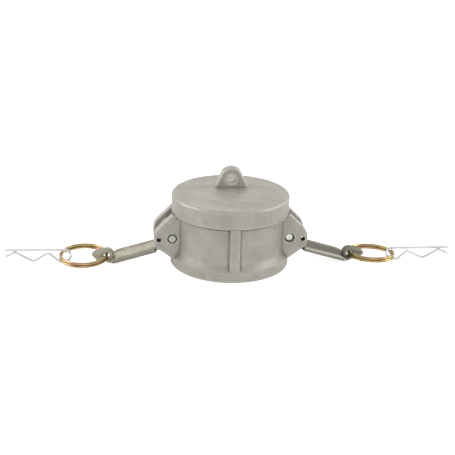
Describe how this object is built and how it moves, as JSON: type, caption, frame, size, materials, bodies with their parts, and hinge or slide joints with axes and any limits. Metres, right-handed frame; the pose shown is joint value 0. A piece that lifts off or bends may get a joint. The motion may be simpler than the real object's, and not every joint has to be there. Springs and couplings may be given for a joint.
{
  "type": "hose coupling cap",
  "caption": "Cam lever cap that closes a pipe or hose adapter, with folding cam arms, pull rings, wire safety clips and a tether lug.",
  "frame": {"origin": "centre of the mouth, on the plane that the cap rests on", "axes": "+Z from the mouth to the closed end; the cam arms open along +X and -X; the front rib faces -Y and the tether lug stands behind the centre, towards +Y"},
  "size_m": [0.301, 0.078, 0.062],
  "materials": {
    "cast_aluminium": "as-cast, fine blasted grain, warm grey",
    "seal_rubber": "moulded black nitrile rubber",
    "arm_steel": "investment cast, blasted, slightly darker than the cap",
    "pin_steel": "turned bright steel",
    "chromate_steel": "yellow zinc plating with pink and green tints",
    "zinc_wire": "bright zinc plated drawn wire"
  },
  "bodies": {
    "cap": {"cap_body": "cast_aluminium", "gasket": "seal_rubber", "left_pivot_pin": "pin_steel", "right_pivot_pin": "pin_steel"},
    "left_arm": {"left_cam_arm": "arm_steel"},
    "left_ring": {"left_pull_ring": "chromate_steel"},
    "left_clip": {"left_safety_clip": "zinc_wire"},
    "right_arm": {"right_cam_arm": "arm_steel"},
    "right_ring": {"right_pull_ring": "chromate_steel"},
    "right_clip": {"right_safety_clip": "zinc_wire"}
  },
  "joints": [
    {"name": "left_arm_pivot", "type": "hinge", "parent": "cap", "child": "left_arm", "pos_m": [-0.0385, 0, 0.02], "axis": [0, 1, 0], "range_deg": [-30, 105.5]},
    {"name": "left_ring_swing", "type": "hinge", "parent": "left_arm", "child": "left_ring", "pos_m": [-0.08129, 0, 0.0044], "axis": [0, -1, 0], "range_deg": [-120, 160]},
    {"name": "left_clip_swing", "type": "hinge", "parent": "left_ring", "child": "left_clip", "pos_m": [-0.11149, 0, 0.00419], "axis": [0, 1, 0], "range_deg": [-100, 100]},
    {"name": "right_arm_pivot", "type": "hinge", "parent": "cap", "child": "right_arm", "pos_m": [0.0385, 0, 0.02], "axis": [0, -1, 0], "range_deg": [-30, 105.5]},
    {"name": "right_ring_swing", "type": "hinge", "parent": "right_arm", "child": "right_ring", "pos_m": [0.08129, 0, 0.0044], "axis": [0, 1, 0], "range_deg": [-120, 160]},
    {"name": "right_clip_swing", "type": "hinge", "parent": "right_ring", "child": "right_clip", "pos_m": [0.11148, 0, 0.00361], "axis": [0, -1, 0], "range_deg": [-100, 100]}
  ]
}
